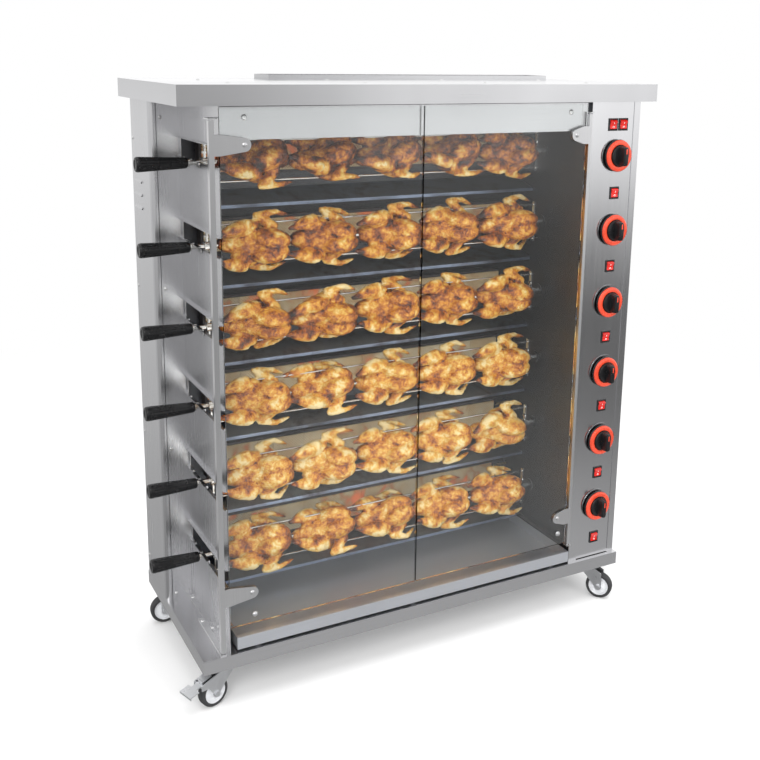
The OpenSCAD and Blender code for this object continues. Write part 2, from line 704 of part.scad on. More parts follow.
module screws() color("gainsboro") place() {
    // foot of the left wall and the pivot strap
    screw_z([wall_x - 6.5, 50, z_deck + sheet_t]);
    screw_z([wall_x - 6.5, -115, z_deck + sheet_t]);
    screw_z([post_l_x, -76, z_deck + 3]);
    // valance
    for (x = [-492, 394]) translate([x, front_y + 10.5, z_skirt - 26]) rotate([90, 0, 0]) dome(14, 5);
    // lid
    for (x = [-500, -160, 180, 500]) for (y = [-150, 70]) screw_z([x, y, z_lid]);
    // front of the rear casing
    for (z = [z_deck + 14, 560, 980, 1400]) screw_y([left_x + 28, rear_y, z]);
    // left face of the rear casing
    for (z = [200, 560, 960, 1340]) translate([left_x, back_y - 14, z]) rotate([0, -90, 0]) dome(9, 2.5);
    // right face of the control column
    for (z = [200, 560, 960, 1340]) for (y = [-200, 220])
        translate([right_x, y, z]) rotate([0, 90, 0]) dome(9, 2.5);
    // rear panel
    for (x = [-600, -300, 0, 300, 600]) for (z = [170, 1400])
        translate([x, back_y, z]) rotate([-90, 0, 0]) dome(9, 2.5);
}

// ---------- nodes ----------

plinth();
canopy();
rear_panel();
rear_left_column();
left_wall();
right_wall();
cavity_back();
cavity_ceiling();
control_housing();
control_panel();
burner_boxes();
burner_tiles();
baffles();
spit_motors();
switch_frames();
gas_rail();
screws();
caster_plates();
door_pivots();
spit(1);  // spit_1
spit(2);  // spit_2
spit(3);  // spit_3
spit(4);  // spit_4
spit(5);  // spit_5
spit(6);  // spit_6
handle(1);  // handle_1
handle(2);  // handle_2
handle(3);  // handle_3
handle(4);  // handle_4
handle(5);  // handle_5
handle(6);  // handle_6
door_left_glass();
door_left_hinge();
door_right_glass();
door_right_hinge();
knob(1);  // knob_1
knob(2);  // knob_2
knob(3);  // knob_3
knob(4);  // knob_4
knob(5);  // knob_5
knob(6);  // knob_6
rocker(control_x, switch_z(1));  // rocker_1
rocker(control_x, switch_z(2));  // rocker_2
rocker(control_x, switch_z(3));  // rocker_3
rocker(control_x, switch_z(4));  // rocker_4
rocker(control_x, switch_z(5));  // rocker_5
rocker(control_x, switch_z(6));  // rocker_6
rocker(top_switch_x[0], top_switch_z);  // rocker_main
rocker(top_switch_x[1], top_switch_z);  // rocker_lamp
drip_tray();
caster_fork(CASTORS[0], true);  // caster_fork_fl
caster_fork(CASTORS[1], false);  // caster_fork_fr
caster_fork(CASTORS[2], false);  // caster_fork_rl
caster_fork(CASTORS[3], true);  // caster_fork_rr
wheel(CASTORS[0]);  // wheel_fl
wheel(CASTORS[1]);  // wheel_fr
wheel(CASTORS[2]);  // wheel_rl
wheel(CASTORS[3]);  // wheel_rr
brake_pedal(CASTORS[0]);  // brake_pedal_fl
brake_pedal(CASTORS[3]);  // brake_pedal_rr
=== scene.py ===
"""Looks of the six-spit rotisserie oven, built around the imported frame.

Metres, +Z up, -Y is the front. Profiles of the turned and lofted pieces are in millimetres.
"""
import json
import math
import random

import bmesh
import bpy
import numpy as np
from mathutils import Euler, Matrix, Vector, noise


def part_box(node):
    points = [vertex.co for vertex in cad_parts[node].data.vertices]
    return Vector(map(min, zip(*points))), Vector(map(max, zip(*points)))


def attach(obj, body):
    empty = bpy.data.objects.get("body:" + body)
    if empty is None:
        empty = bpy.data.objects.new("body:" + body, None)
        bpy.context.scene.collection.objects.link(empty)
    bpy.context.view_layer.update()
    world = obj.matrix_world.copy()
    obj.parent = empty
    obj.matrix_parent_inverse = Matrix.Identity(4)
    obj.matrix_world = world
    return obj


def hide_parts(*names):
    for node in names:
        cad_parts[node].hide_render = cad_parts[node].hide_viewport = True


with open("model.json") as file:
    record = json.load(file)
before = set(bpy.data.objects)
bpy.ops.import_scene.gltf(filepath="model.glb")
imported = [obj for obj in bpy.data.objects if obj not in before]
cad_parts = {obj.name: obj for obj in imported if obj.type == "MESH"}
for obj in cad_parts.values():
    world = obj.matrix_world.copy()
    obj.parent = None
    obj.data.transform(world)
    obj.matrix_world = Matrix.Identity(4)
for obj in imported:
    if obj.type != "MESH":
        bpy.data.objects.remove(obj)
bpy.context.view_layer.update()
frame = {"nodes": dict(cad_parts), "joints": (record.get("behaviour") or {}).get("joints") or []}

SPITS = 6
MM = 0.001
WHITE = (1, 1, 1, 1)
NODES = frame["nodes"]
JOINTS = {j["name"]: j for j in frame["joints"]}


def joint_at(name):
    """Where a joint's axis passes, in metres."""
    return Vector(JOINTS[name]["pos_m"])


# ---------- camera, light and floor ----------

# solved from the corners of the lid and of the base tray in the photograph
CAMERA_LENS = 48.55
CAMERA_SHIFT = (-0.0263, -0.1316)
CAMERA_PLACE = (-1.2407, -2.3673, 1.5566)
CAMERA_ANGLES = (77.537, -0.869, -28.158)


def add_camera():
    data = bpy.data.cameras.new("camera")
    data.lens = CAMERA_LENS
    data.shift_x, data.shift_y = CAMERA_SHIFT
    camera = bpy.data.objects.new("camera", data)
    camera.location = CAMERA_PLACE
    camera.rotation_euler = [math.radians(a) for a in CAMERA_ANGLES]
    bpy.context.scene.collection.objects.link(camera)
    bpy.context.scene.camera = camera


def add_area_light(name, place, aim, size, power):
    data = bpy.data.lights.new(name, "AREA")
    data.shape = "RECTANGLE"
    data.size, data.size_y = size
    data.energy = power
    light = bpy.data.objects.new(name, data)
    light.location = place
    light.rotation_euler = (Vector(aim) - Vector(place)).to_track_quat("-Z", "Y").to_euler()
    light.visible_camera = False
    # the steel mirrors the world alone, also through the glass
    light.visible_glossy = False
    light.visible_transmission = False
    bpy.context.scene.collection.objects.link(light)


# What the steel mirrors, as (height, grey) stops of four directions round the oven. Height is 0
# straight down, 0.5 at the horizon and 1 straight up. The first stops are the floor's, and the
# directions to the front and to the right share them.
FLOOR_GREYS = [(0.0, 0.44), (0.22, 0.48), (0.27, 0.50), (0.30, 0.40), (0.325, 0.21), (0.345, 0.16),
               (0.37, 0.12), (0.395, 0.11)]
FRONT_GREYS = FLOOR_GREYS + [(0.415, 0.22), (0.44, 0.42), (0.465, 0.52), (0.474, 0.40),
                             (0.52, 0.42), (0.60, 0.62), (1.0, 1.0)]
RIGHT_GREYS = FLOOR_GREYS + [(0.415, 0.28), (0.44, 0.82), (0.465, 1.15), (0.478, 1.30),
                             (0.52, 1.25), (0.60, 1.1), (1.0, 1.1)]
LEFT_GREYS = [(0.0, 0.42), (0.25, 0.38), (0.30, 0.42), (0.34, 0.52), (0.40, 0.62), (0.44, 0.74),
              (0.47, 0.88), (0.49, 0.70), (0.60, 0.80), (1.0, 1.1)]
# the left wall and the casing behind it mirror this direction in each other
CORNER_GREYS = [(0.0, 0.30), (0.28, 0.24), (0.34, 0.36), (0.40, 0.42), (0.43, 0.50), (0.455, 0.72),
                (0.475, 0.95), (0.60, 0.85), (1.0, 1.0)]
# azimuths in degrees from the front, positive to the right, between which one direction turns
# into the next
TO_RIGHT = (16, 34)
TO_CORNER = (8, -8)
TO_LEFT = (-75, -110)
# bright fields of the studio: azimuths in degrees, heights, and colour
WINDOW = ((25.5, 36.8), (0.444, 0.473), (1.7, 1.7, 1.7, 1))
SOFTBOX = ((-58, -30), (0.74, 0.88), (4.5, 4.45, 4.35, 1))
# widths of their soft edges, in radians and in height
FIELD_EDGE_ANGLE = 0.02
FIELD_EDGE_HEIGHT = 0.004


def add_world():
    """White behind the object; in the steel, a studio: dim at the front, bright to the right."""
    world = bpy.data.worlds.new("studio")
    bpy.context.scene.world = world
    world.use_nodes = True
    tree = world.node_tree
    tree.nodes.clear()
    net = Net(tree)
    direction = net.node("ShaderNodeTexCoord").outputs["Generated"]
    x, y, z = net.split(direction)
    height = net.math("MULTIPLY_ADD", z, 0.5, 0.5)
    front, right, left, corner = (net.ramp(height, greys) for greys in
                                  (FRONT_GREYS, RIGHT_GREYS, LEFT_GREYS, CORNER_GREYS))
    azimuth = net.math("ARCTAN2", x, net.math("MULTIPLY", y, -1.0))
    to_right, to_corner, to_left = (net.map_range(azimuth, *(math.radians(a) for a in turn))
                                    for turn in (TO_RIGHT, TO_CORNER, TO_LEFT))
    glossy = net.mix(to_corner, net.mix(to_right, front, right), corner)
    glossy = net.mix(to_left, glossy, left)
    # the window shows in the right door's glass, the softbox as highlights
    for across, up, colour in (WINDOW, SOFTBOX):
        glossy = net.mix(bright_field(net, azimuth, height, across, up), glossy, colour)
    ray = net.node("ShaderNodeLightPath")
    colour = net.mix(ray.outputs["Is Camera Ray"], glossy, WHITE)
    background = net.node("ShaderNodeBackground")
    net.link(colour, background.inputs["Color"])
    background.inputs["Strength"].default_value = 1.0
    net.link(background.outputs[0], net.node("ShaderNodeOutputWorld").inputs[0])


def bright_field(net, azimuth, height, across, up):
    """Mask between two azimuths in degrees and two heights, with soft edges."""
    left, right = (math.radians(a) for a in across)
    bottom, top = up
    sides = net.math("MULTIPLY", net.map_range(azimuth, left, left + FIELD_EDGE_ANGLE),
                     net.map_range(azimuth, right, right - FIELD_EDGE_ANGLE))
    ends = net.math("MULTIPLY", net.map_range(height, bottom, bottom + FIELD_EDGE_HEIGHT),
                    net.map_range(height, top, top - FIELD_EDGE_HEIGHT))
    return net.math("MULTIPLY", sides, ends)


FLOOR_RADIUS = 30
# name, place, aim, size in metres, and power in watts
LIGHTS = (("key", (-2.6, -3.6, 3.0), (-0.1, 0, 0.8), (2.2, 2.2), 80),
          ("fill", (1.6, -3.6, 1.5), (0.0, 0, 0.7), (1.6, 2.0), 45),
          ("top", (0.0, -0.6, 4.0), (0, 0, 0.8), (3.0, 2.4), 60))


def add_stage():
    bm = bmesh.new()
    bmesh.ops.create_circle(bm, cap_ends=True, segments=64, radius=FLOOR_RADIUS)
    floor = mesh_piece("floor", bm, [floor_material()])
    floor.visible_glossy = False
    for light in LIGHTS:
        add_area_light(*light)
    scene = bpy.context.scene
    scene.view_settings.view_transform = "Standard"
    scene.view_settings.exposure = 0.0


# ---------- node helpers ----------

class Net:
    """Adds nodes to a tree; sockets, numbers and colours are all taken as inputs."""

    def __init__(self, tree):
        self.tree = tree

    def node(self, kind, **settings):
        made = self.tree.nodes.new(kind)
        for key, value in settings.items():
            setattr(made, key, value)
        return made

    def link(self, source, target):
        self.tree.links.new(source, target)

    def feed(self, value, target):
        if isinstance(value, bpy.types.NodeSocket):
            self.link(value, target)
        else:
            target.default_value = value

    def math(self, operation, *values):
        made = self.node("ShaderNodeMath", operation=operation)
        for value, target in zip(values, made.inputs):
            self.feed(value, target)
        return made.outputs[0]

    def split(self, vector):
        made = self.node("ShaderNodeSeparateXYZ")
        self.feed(vector, made.inputs[0])
        return made.outputs[0], made.outputs[1], made.outputs[2]

    def map_range(self, value, low, high, to_low=0.0, to_high=1.0):
        made = self.node("ShaderNodeMapRange", interpolation_type="SMOOTHSTEP")
        for target, source in zip(made.inputs, (value, low, high, to_low, to_high)):
            self.feed(source, target)
        return made.outputs[0]

    def ramp(self, value, stops):
        """Colour ramp through (place, grey or colour) stops."""
        made = self.node("ShaderNodeValToRGB")
        points = made.color_ramp.elements
        while len(points) < len(stops):
            points.new(0.5)
        for point, (place, colour) in zip(points, stops):
            point.position = place
            rgb = colour if isinstance(colour, tuple) else (colour, colour, colour)
            point.color = (*rgb, 1)
        self.feed(value, made.inputs[0])
        return made.outputs[0]

    def mix(self, factor, a, b):
        """Colour mix; the Mix node's colour sockets are its inputs 6 and 7 and its output 2."""
        made = self.node("ShaderNodeMix", data_type="RGBA")
        self.feed(factor, made.inputs[0])
        self.feed(a, made.inputs[6])
        self.feed(b, made.inputs[7])
        return made.outputs[2]

    def coords(self, scale=(1, 1, 1)):
        made = self.node("ShaderNodeMapping")
        self.link(self.node("ShaderNodeTexCoord").outputs["Object"], made.inputs[0])
        made.inputs["Scale"].default_value = scale
        return made.outputs[0]

    def noise(self, vector, scale, detail=3.0, roughness=0.55, distortion=0.0):
        made = self.node("ShaderNodeTexNoise")
        self.link(vector, made.inputs["Vector"])
        made.inputs["Scale"].default_value = scale
        made.inputs["Detail"].default_value = detail
        made.inputs["Roughness"].default_value = roughness
        made.inputs["Distortion"].default_value = distortion
        return made.outputs["Fac"]

    def bump(self, height, strength, distance=MM):
        made = self.node("ShaderNodeBump")
        made.inputs["Strength"].default_value = strength
        made.inputs["Distance"].default_value = distance
        self.link(height, made.inputs["Height"])
        return made.outputs["Normal"]


def material(name, base=(0.8, 0.8, 0.8), metallic=0.0, roughness=0.5, **sockets):
    """A Principled material; returns it with its Net and its shader."""
    made = bpy.data.materials.new(name)
    made.use_nodes = True
    made.diffuse_color = (*base, 1)
    net = Net(made.node_tree)
    shader = next(n for n in made.node_tree.nodes if n.type == "BSDF_PRINCIPLED")
    shader.inputs["Base Color"].default_value = (*base, 1)
    shader.inputs["Metallic"].default_value = metallic
    shader.inputs["Roughness"].default_value = roughness
    for key, value in sockets.items():
        shader.inputs[key.replace("_", " ")].default_value = value
    return made, net, shader


def shade(colour, factor):
    """A darker or lighter shade of a colour."""
    return tuple(min(1.0, c * factor) for c in colour)


def cover(made, net, factor, shader, other):
    """Shows another shader over the Principled one, by a factor."""
    mixer = net.node("ShaderNodeMixShader")
    net.link(factor, mixer.inputs[0])
    net.link(shader.outputs[0], mixer.inputs[1])
    net.link(other.outputs[0], mixer.inputs[2])
    output = next(n for n in made.node_tree.nodes if n.type == "OUTPUT_MATERIAL")
    net.link(mixer.outputs[0], output.inputs[0])


# ---------- materials ----------

# distances from the middle between which the floor turns into the background, in metres
FLOOR_FADE = (1.2, 3.2)


def floor_material():
    """Pale floor that runs out into the white background."""
    made, net, shader = material("floor_pale", (0.9, 0.9, 0.9), roughness=0.9)
    place = net.coords()
    net.link(net.ramp(net.noise(place, 4.0), [(0.3, 0.90), (0.7, 0.92)]),
             shader.inputs["Base Color"])
    x, y, _ = net.split(place)
    away = net.math("SQRT", net.math("ADD", net.math("MULTIPLY", x, x),
                                     net.math("MULTIPLY", y, y)))
    cover(made, net, net.map_range(away, *FLOOR_FADE), shader, net.node("ShaderNodeEmission"))
    return made


# noise scale for streaks that run along X or along Z
GRAIN_SCALE = {"x": (5.0, 340.0, 340.0), "z": (340.0, 340.0, 5.0)}


def brushed(name, base, grain, roughness, stain=None, stain_amount=0.0, metallic=1.0):
    """Brushed stainless: streaks along the grain, faint wipe marks, and a heat or fat stain."""
    made, net, shader = material(name, base, metallic=metallic, Anisotropic=0.45,
                                 Anisotropic_Rotation=0.25)
    streak = net.noise(net.coords(GRAIN_SCALE[grain]), 1.0, detail=1.0)
    cloud = net.noise(net.coords(), 1.6, detail=3.0, distortion=0.3)
    wipe = net.noise(net.coords((5, 5, 2.2)), 1.0, detail=2.0)
    colour = net.mix(net.map_range(streak, 0.3, 0.7), (*shade(base, 0.98), 1),
                     (*shade(base, 1.02), 1))
    colour = net.mix(net.map_range(cloud, 0.35, 0.75), colour, (*shade(base, 0.95), 1))
    if stain:
        blot = net.noise(net.coords((1.0, 1.0, 1.6)), 7.0, detail=6.0, roughness=0.65,
                         distortion=0.8)
        drip = net.noise(net.coords((38, 38, 3.0)), 1.0, detail=3.0)
        mask = net.math("MULTIPLY", net.map_range(blot, 0.42, 0.72),
                        net.map_range(drip, 0.3, 0.7, 0.35, 1.0))
        colour = net.mix(net.math("MULTIPLY", mask, stain_amount), colour, (*stain, 1))
    net.link(colour, shader.inputs["Base Color"])
    rough = net.math("MULTIPLY_ADD", streak, 0.04, roughness - 0.02)
    rough = net.math("ADD", rough, net.map_range(wipe, 0.35, 0.75, -0.015, 0.03))
    net.link(rough, shader.inputs["Roughness"])
    # sheets are never quite flat
    net.link(net.bump(wipe, 0.2, MM), shader.inputs["Normal"])
    return made


def chrome(name, base, roughness):
    """Plated metal, dulled in patches."""
    made, net, shader = material(name, base, metallic=1.0)
    wear = net.noise(net.coords(), 38.0, detail=5.0)
    tarnish = net.noise(net.coords(), 9.0, detail=3.0, distortion=0.5)
    net.link(net.mix(net.map_range(tarnish, 0.45, 0.8), (*base, 1), (*shade(base, 0.72), 1)),
             shader.inputs["Base Color"])
    net.link(net.map_range(wear, 0.3, 0.8, roughness, roughness + 0.22), shader.inputs["Roughness"])
    net.link(net.bump(wear, 0.03, 0.3 * MM), shader.inputs["Normal"])
    return made


def spit_metal():
    """Chrome with baked-on brown fat in patches."""
    chrome_grey, brown_fat = (0.80, 0.79, 0.76), (0.34, 0.22, 0.12)
    made, net, shader = material("spit_chrome", chrome_grey, metallic=1.0)
    soil = net.noise(net.coords((14, 40, 40)), 1.0, detail=5.0, roughness=0.7)
    mask = net.map_range(soil, 0.52, 0.70)
    net.link(net.mix(mask, (*chrome_grey, 1), (*brown_fat, 1)), shader.inputs["Base Color"])
    net.link(net.math("MULTIPLY_ADD", mask, 0.25, 0.16), shader.inputs["Roughness"])
    net.link(net.bump(soil, 0.15, 0.5 * MM), shader.inputs["Normal"])
    return made


def uneven(net, shader, mask, base, darker, lighter):
    """Base colour that varies between two shades of itself."""
    net.link(net.mix(mask, (*shade(base, darker), 1), (*shade(base, lighter), 1)),
             shader.inputs["Base Color"])


def plastic(name, base, roughness, grain=0.1, coat=0.0, specular=0.5):
    """Moulded plastic with a fine orange-peel texture and slightly uneven colour."""
    made, net, shader = material(name, base, roughness=roughness, Coat_Weight=coat,
                                 Coat_Roughness=0.08, Specular_IOR_Level=specular)
    cloud = net.noise(net.coords(), 26.0, detail=3.0)
    fine = net.noise(net.coords(), 900.0, detail=2.0)
    uneven(net, shader, net.map_range(cloud, 0.3, 0.7), base, 0.88, 1.12)
    net.link(net.map_range(cloud, 0.3, 0.75, roughness - 0.04, roughness + 0.1),
             shader.inputs["Roughness"])
    net.link(net.bump(fine, grain, 0.2 * MM), shader.inputs["Normal"])
    return made


def painted(name, base, roughness):
    """Sprayed paint, uneven in colour and gloss."""
    made, net, shader = material(name, base, roughness=roughness)
    cloud = net.noise(net.coords(), 14.0, detail=5.0)
    peel = net.noise(net.coords(), 320.0, detail=2.0)
    uneven(net, shader, net.map_range(cloud, 0.35, 0.7), base, 0.75, 1.3)
    net.link(net.map_range(cloud, 0.3, 0.7, roughness - 0.08, roughness + 0.12),
             shader.inputs["Roughness"])
    net.link(net.bump(peel, 0.15, 0.3 * MM), shader.inputs["Normal"])
    return made


FLAME_HOLE_PITCH = 0.0075


def ceramic_tiles():
    """Cream burner plates with rows of fine flame holes, scorched and glowing in patches."""
    made, net, shader = material("burner_ceramic", (0.86, 0.72, 0.46), roughness=0.75)
    x, _, z = net.split(net.coords())
    turns = 2 * math.pi / FLAME_HOLE_PITCH
    holes = [net.math("SINE", net.math("MULTIPLY", axis, turns)) for axis in (x, z)]
    dots = net.map_range(net.math("MULTIPLY", *holes), 0.25, 0.75)
    scorch = net.noise(net.coords(), 16.0, detail=5.0, distortion=1.0)
    colour = net.ramp(scorch, [(0.30, (0.90, 0.80, 0.56)), (0.52, (0.82, 0.62, 0.34)),
                               (0.66, (0.62, 0.26, 0.12)), (0.85, (0.24, 0.13, 0.08))])
    # the flame holes are painted dark brown: painted shade inside the holes
    net.link(net.mix(dots, colour, (0.16, 0.09, 0.05, 1)), shader.inputs["Base Color"])
    net.link(net.mix(net.map_range(scorch, 0.55, 0.8), (0, 0, 0, 1), (1.0, 0.16, 0.03, 1)),
             shader.inputs["Emission Color"])
    shader.inputs["Emission Strength"].default_value = 0.5
    net.link(net.bump(net.math("SUBTRACT", 1.0, dots), 0.5, MM), shader.inputs["Normal"])
    return made


def rubber():
    """Black tyre rubber with pale dust."""
    base = (0.035, 0.035, 0.037)
    made, net, shader = material("tyre_rubber", base, roughness=0.62)
    dust = net.noise(net.coords(), 60.0, detail=6.0, roughness=0.7)
    net.link(net.ramp(dust, [(0.35, shade(base, 0.8)), (0.6, base), (0.8, shade(base, 2.2))]),
             shader.inputs["Base Color"])
    net.link(net.map_range(dust, 0.3, 0.75, 0.5, 0.8), shader.inputs["Roughness"])
    net.link(net.bump(dust, 0.3, 0.4 * MM), shader.inputs["Normal"])
    return made


def door_glass():
    """Clear toughened glass that lets lamp light through, with faint smears."""
    made, net, shader = material("door_glass", (0.965, 0.98, 0.975), roughness=0.0,
                                 Transmission_Weight=1.0, IOR=1.45, Specular_IOR_Level=0.2)
    clear = net.node("ShaderNodeBsdfTransparent")
    clear.inputs[0].default_value = (0.94, 0.95, 0.95, 1)
    ray = net.node("ShaderNodeLightPath")
    passing = net.math("MAXIMUM", ray.outputs["Is Shadow Ray"], ray.outputs["Is Diffuse Ray"])
    cover(made, net, passing, shader, clear)
    smear = net.noise(net.coords((1.0, 1.0, 0.5)), 5.0, detail=2.0, roughness=0.5,
                      distortion=0.8)
    net.link(net.map_range(smear, 0.5, 0.85, 0.0, 0.02), shader.inputs["Roughness"])
    return made


# skin colours from pale gold to charred; the dark end also paints the shade in the creases
SKIN_ROAST_AND_SHADE_COLOURS = [(0.0, (0.80, 0.62, 0.30)), (0.16, (0.72, 0.42, 0.07)),
                 (0.34, (0.60, 0.22, 0.012)), (0.52, (0.33, 0.08, 0.007)),
                 (0.70, (0.10, 0.022, 0.006)), (0.90, (0.014, 0.006, 0.005))]


def roast_skin():
    """Roast skin; the mesh's roast attribute says how brown each point is, and also holds painted
    shade in the creases.
    """
    made, net, shader = material("roast_skin", (0.6, 0.3, 0.08), roughness=0.38,
                                 Coat_Weight=0.3, Coat_Roughness=0.16)
    roast_and_crease_shade = net.node("ShaderNodeAttribute", attribute_name="roast_and_crease_shade").outputs["Fac"]
    mottle = net.noise(net.coords(), 46.0, detail=7.0, roughness=0.66, distortion=0.9)
    freckle = net.noise(net.coords(), 170.0, detail=4.0, roughness=0.7)
    brownness_and_shade = net.math("MULTIPLY_ADD", net.math("SUBTRACT", mottle, 0.5), 1.25, roast_and_crease_shade)
    brownness_and_shade = net.math("MULTIPLY_ADD", net.math("SUBTRACT", freckle, 0.5), 0.75, brownness_and_shade)
    net.link(net.ramp(brownness_and_shade, SKIN_ROAST_AND_SHADE_COLOURS), shader.inputs["Base Color"])
    net.link(net.map_range(freckle, 0.3, 0.75, 0.26, 0.55), shader.inputs["Roughness"])
    wrinkle = net.noise(net.coords(), 110.0, detail=5.0, roughness=0.6, distortion=1.5)
    net.link(net.bump(wrinkle, 0.75, 2.6 * MM), shader.inputs["Normal"])
    return made


def brass():
    """Brass, tarnished brown in patches."""
    made, net, shader = material("gas_brass", (0.71, 0.52, 0.24), metallic=1.0)
    tarnish = net.noise(net.coords(), 24.0, detail=5.0)
    net.link(net.mix(net.map_range(tarnish, 0.4, 0.75), (0.74, 0.56, 0.28, 1),
                     (0.42, 0.28, 0.13, 1)), shader.inputs["Base Color"])
    net.link(net.map_range(tarnish, 0.3, 0.8, 0.22, 0.48), shader.inputs["Roughness"])
    return made


STEEL = (0.72, 0.72, 0.735)
MATERIALS = {
    "sheet_x": brushed("sheet_x", STEEL, "x", 0.24),
    "sheet_z": brushed("sheet_z", shade(STEEL, 0.97), "z", 0.26),
    "panel": brushed("panel_steel", shade(STEEL, 1.02), "z", 0.16),
    "cavity": brushed("cavity_steel", (0.115, 0.12, 0.13), "z", 0.46,
                      stain=(0.07, 0.05, 0.04), stain_amount=0.18),
    "baffle": brushed("baffle_steel", (0.33, 0.40, 0.54), "x", 0.34,
                      stain=(0.09, 0.07, 0.07), stain_amount=0.75),
    "tray": brushed("tray_steel", (0.58, 0.60, 0.64), "x", 0.34,
                    stain=(0.40, 0.36, 0.30), stain_amount=0.10, metallic=0.75),
    "hinge": brushed("hinge_steel", (0.80, 0.80, 0.81), "z", 0.30),
    "zinc": chrome("castor_zinc", (0.78, 0.79, 0.81), 0.26),
    "screw": chrome("screw_steel", (0.80, 0.80, 0.80), 0.16),
    "spit": spit_metal(),
    "burner": painted("burner_steel", (0.05, 0.045, 0.045), 0.5),
    "ceramic": ceramic_tiles(),
    "motor": painted("motor_paint", (0.03, 0.03, 0.033), 0.4),
    "black": plastic("switch_black", (0.016, 0.016, 0.017), 0.36, grain=0.3),
    "bakelite": plastic("handle_bakelite", (0.006, 0.006, 0.0065), 0.24, grain=0.15,
                        coat=0.1, specular=0.35),
    "knob_black": plastic("knob_black", (0.008, 0.008, 0.009), 0.3, grain=0.2, coat=0.1,
                          specular=0.4),
    "ring_red": plastic("ring_red", (0.66, 0.058, 0.022), 0.26, grain=0.1, coat=0.4),
    "rocker_red": plastic("rocker_red", (0.56, 0.010, 0.005), 0.16, grain=0.0, coat=0.5),
    "mark_white": plastic("mark_white", (0.85, 0.85, 0.82), 0.4),
    "glass": door_glass(),
    "tyre": rubber(),
    "hub": plastic("hub_grey", (0.66, 0.67, 0.69), 0.4, grain=0.2),
    "brass": brass(),
    "skin": roast_skin(),
}

NODE_MATERIALS = {
    "plinth": "sheet_x", "canopy": "sheet_x", "cavity_ceiling": "sheet_x",
    "rear_panel": "sheet_z", "rear_left_column": "sheet_z", "left_wall": "sheet_z",
    "right_wall": "cavity", "cavity_back": "cavity",
    "control_housing": "panel", "control_panel": "panel",
    "burner_boxes": "burner", "burner_tiles": "ceramic", "baffles": "baffle",
    "spit_motors": "motor", "switch_frames": "black", "gas_rail": "brass",
    "screws": "screw", "caster_plates": "zinc",
    "door_pivots": "hinge", "door_left_hinge": "hinge", "door_right_hinge": "hinge",
    "door_left_glass": "glass", "door_right_glass": "glass", "drip_tray": "tray",
}
# for the nodes that come in numbers, by the start of their names
NUMBERED_MATERIALS = {
    "spit_": "spit", "handle_": "bakelite", "knob_": "knob_black", "rocker_": "rocker_red",
    "caster_fork_": "zinc", "wheel_": "tyre", "brake_pedal_": "zinc",
}


def node_material(node):
    if node in NODE_MATERIALS:
        return MATERIALS[NODE_MATERIALS[node]]
    return next(MATERIALS[key] for start, key in NUMBERED_MATERIALS.items()
                if node.startswith(start))


def dress_cad_nodes():
    """Gives every CAD node its finish."""
    for name, piece in NODES.items():
        piece.data.materials.clear()
        piece.data.materials.append(node_material(name))


# ---------- mesh helpers ----------

def mesh_piece(name, bm, materials):
    """Turns a bmesh into an object of the scene, and frees it."""
    mesh = bpy.data.meshes.new(name)
    bmesh.ops.recalc_face_normals(bm, faces=bm.faces)
    bm.to_mesh(mesh)
    bm.free()
    for m in materials:
        mesh.materials.append(m)
    piece = bpy.data.objects.new(name, mesh)
    bpy.context.scene.collection.objects.link(piece)
    return piece


def loft(bm, rings, slots=0, caps=(True, True)):
    """Skins closed rings of equal length; slots is one material index, or one for each band."""
    rows = [[bm.verts.new(point) for point in ring] for ring in rings]
    bands = len(rows) - 1
    slots = [slots] * bands if isinstance(slots, int) else slots
    for slot, low, high in zip(slots, rows, rows[1:]):
        for k in range(len(low)):
            face = bm.faces.new((low[k - 1], low[k], high[k], high[k - 1]))
            face.material_index = slot
    for wanted, row, slot in zip(caps, (rows[0], rows[-1]), (slots[0], slots[-1])):
        if wanted:
            bm.faces.new(row).material_index = slot


def turned(bm, profile, place, segments=64, shape=None, caps=(True, True)):
    """Turns (radius, distance along, material) points round the Z axis of place."""
    angles = [2 * math.pi * k / segments for k in range(segments)]
    rings = []
    for radius, along, _ in profile:
        reach = [radius * (shape(a, along) if shape else 1.0) for a in angles]
        rings.append([place @ Vector((r * math.cos(a), r * math.sin(a), along))
                      for a, r in zip(angles, reach)])
    loft(bm, rings, [slot for _, _, slot in profile[1:]], caps)


def rounded_bar(bm, levels, place, slot=0, centre=(0.0, 0.0), power=4.0, points=48):
    """A bar along Z from (height, half width, half length) levels, with superellipse sections."""
    rings = []
    for height, wide, long in levels:
        ring = []
        for k in range(points):
            angle = 2 * math.pi * k / points
            across, along = (math.copysign(abs(v) ** (2 / power), v)
                             for v in (math.cos(angle), math.sin(angle)))
            ring.append(place @ Vector((centre[0] + wide * across, centre[1] + long * along,
                                        height)))
        rings.append(ring)
    loft(bm, rings, slot)


def smoothstep(value, low, high):
    t = min(1.0, max(0.0, (value - low) / (high - low)))
    return t * t * (3 - 2 * t)


def box(node):
    """A node's low and high corners and its centre, in metres."""
    low, high = (Vector(corner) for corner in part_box(node))
    return low, high, (low + high) / 2


def in_millimetres(place, turn):
    """Frame for shapes drawn in millimetres, at a place in metres and turned."""
    return Matrix.Translation(place) @ turn.to_4x4() @ Matrix.Scale(MM, 4)


def sharpen(piece, angle):
    """Smooth shading that keeps edges sharper than the angle, in degrees."""
    piece.data.shade_smooth()
    piece.data.set_sharp_from_angle(angle=math.radians(angle))


# ---------- handles, knobs, switches and wheels ----------

QUARTER_TURN_X = Matrix.Rotation(math.radians(90), 4, "X")
QUARTER_TURN_Y = Matrix.Rotation(math.radians(90), 4, "Y")

FLUTES = 10
FLUTE_DEPTH = 0.085      # against the handle's radius
